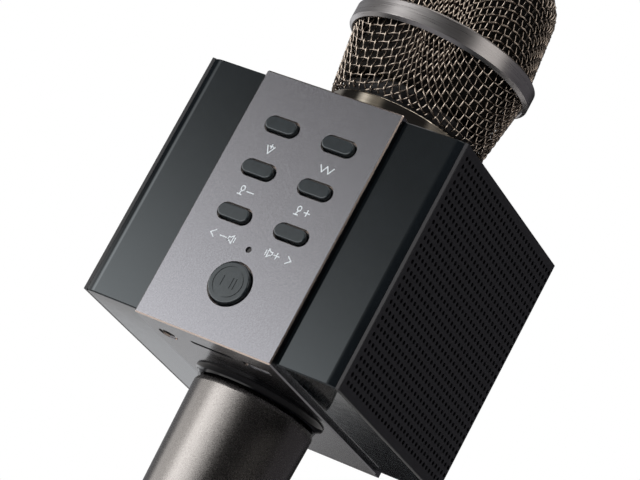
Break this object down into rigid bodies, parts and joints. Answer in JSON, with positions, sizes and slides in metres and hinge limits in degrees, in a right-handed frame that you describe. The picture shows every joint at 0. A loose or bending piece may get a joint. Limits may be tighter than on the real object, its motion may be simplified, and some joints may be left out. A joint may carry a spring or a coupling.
{
  "type": "karaoke microphone",
  "caption": "Hand-held karaoke microphone with a square speaker housing, perforated side grilles, push buttons, a woven round head and a tapered handle.",
  "frame": {"origin": "centre of the flat end of the handle, where the microphone's own axis meets it", "axes": "+Z along the microphone from the handle's end to the head; -Y faces out of the front with the buttons; +X is to the right of someone facing the buttons, out of the right-hand speaker grille"},
  "size_m": [0.08, 0.0787, 0.279],
  "materials": {
    "band_metal": "sand-blasted and anodised, purple-grey",
    "shell_gloss": "dark slate, high gloss lacquer",
    "grille_plate": "near-black satin, moulded with a square grid of round holes",
    "dust_cloth": "black acoustic cloth",
    "button_gloss": "dark slate, glossy",
    "lamp_lens": "smoked light pipe",
    "frame_plastic": "black moulded plastic",
    "steel": "zinc-plated steel",
    "screw_black": "black-oxide steel",
    "socket_black": "black socket body",
    "socket_steel": "bright plated steel",
    "board": "green glass-epoxy board",
    "chip_black": "black epoxy package",
    "heat_sink": "extruded aluminium",
    "capacitor": "sleeved aluminium can",
    "connector_white": "natural nylon",
    "magnet": "sintered ferrite and plated iron",
    "cone_paper": "black pressed paper",
    "surround_rubber": "soft black rubber",
    "collar_metal": "champagne plated, polished",
    "head_band_metal": "satin gunmetal grey",
    "grille_wire": "woven bronze-tinted wire",
    "foam": "open-cell acoustic foam, dark",
    "capsule_metal": "spun aluminium can",
    "brass": "turned brass",
    "handle_metal": "aluminium tube with a satin bronze-gunmetal lacquer",
    "collar_gloss": "black, high gloss",
    "battery_wrap": "shrink-wrapped lithium cell",
    "nickel": "nickel strip"
  },
  "bodies": {
    "housing": {"amplifier_chip": "chip_black", "audio_jack": "socket_black", "battery_cell": "battery_wrap", "battery_holder": "frame_plastic", "battery_tabs": "nickel", "board_connectors": "connector_white", "board_screws": "steel", "capacitors": "capacitor", "capsule": "capsule_metal", "capsule_cradle": "surround_rubber", "card_socket": "socket_steel", "end_cap": "handle_metal", "front_band": "band_metal", "handle_collar": "collar_gloss", "handle_insert": "frame_plastic", "handle_stub": "brass", "handle_tube": "handle_metal", "head_collar": "collar_metal", "head_stub": "brass", "heat_sink": "heat_sink", "inner_frame": "frame_plastic", "jack_ring": "socket_steel", "key_board": "board", "key_switches": "chip_black", "left_dust_cloth": "dust_cloth", "left_grille": "grille_plate", "left_shell": "shell_gloss", "left_speaker_basket": "steel", "left_speaker_magnet": "magnet", "left_speaker_surround": "surround_rubber", "main_board": "board", "rear_panel": "band_metal", "rear_screws": "screw_black", "right_dust_cloth": "dust_cloth", "right_grille": "grille_plate", "right_shell": "shell_gloss", "right_speaker_basket": "steel", "right_speaker_magnet": "magnet", "right_speaker_surround": "surround_rubber", "shell_screws": "screw_black", "speaker_screws": "steel", "status_led": "connector_white", "status_light_pipe": "lamp_lens", "stub_screws": "steel", "usb_socket": "socket_steel"},
    "button_echo": {"button_echo": "button_gloss"},
    "button_mode": {"button_mode": "button_gloss"},
    "button_mic_down": {"button_mic_down": "button_gloss"},
    "button_mic_up": {"button_mic_up": "button_gloss"},
    "button_volume_down": {"button_volume_down": "button_gloss"},
    "button_volume_up": {"button_volume_up": "button_gloss"},
    "button_power": {"button_power": "button_gloss"},
    "left_cone": {"left_speaker_cone": "cone_paper"},
    "right_cone": {"right_speaker_cone": "cone_paper"},
    "grille_head": {"thread_ring": "screw_black", "lower_grille": "grille_wire", "head_band": "head_band_metal", "upper_grille": "grille_wire", "windscreen_foam": "foam"}
  },
  "joints": [
    {"name": "press_echo", "type": "slide", "parent": "housing", "child": "button_echo", "axis": [0, 1, 0], "range_m": [0, 0.0005], "stiffness_N_per_m": 1500},
    {"name": "press_mode", "type": "slide", "parent": "housing", "child": "button_mode", "axis": [0, 1, 0], "range_m": [0, 0.0005], "stiffness_N_per_m": 1500},
    {"name": "press_mic_down", "type": "slide", "parent": "housing", "child": "button_mic_down", "axis": [0, 1, 0], "range_m": [0, 0.0005], "stiffness_N_per_m": 1500},
    {"name": "press_mic_up", "type": "slide", "parent": "housing", "child": "button_mic_up", "axis": [0, 1, 0], "range_m": [0, 0.0005], "stiffness_N_per_m": 1500},
    {"name": "press_volume_down", "type": "slide", "parent": "housing", "child": "button_volume_down", "axis": [0, 1, 0], "range_m": [0, 0.0005], "stiffness_N_per_m": 1500},
    {"name": "press_volume_up", "type": "slide", "parent": "housing", "child": "button_volume_up", "axis": [0, 1, 0], "range_m": [0, 0.0005], "stiffness_N_per_m": 1500},
    {"name": "press_power", "type": "slide", "parent": "housing", "child": "button_power", "axis": [0, 1, 0], "range_m": [0, 0.0005], "stiffness_N_per_m": 1500},
    {"name": "left_cone_stroke", "type": "slide", "parent": "housing", "child": "left_cone", "axis": [-1, 0, 0], "range_m": [-0.0008, 0.0008], "stiffness_N_per_m": 1200},
    {"name": "right_cone_stroke", "type": "slide", "parent": "housing", "child": "right_cone", "axis": [1, 0, 0], "range_m": [-0.0008, 0.0008], "stiffness_N_per_m": 1200},
    {"name": "grille_head_unscrew", "type": "hinge", "parent": "housing", "child": "grille_head", "pos_m": [0, 0, 0.224], "axis": [0, 0, 1], "range_deg": [0, 1080]}
  ]
}
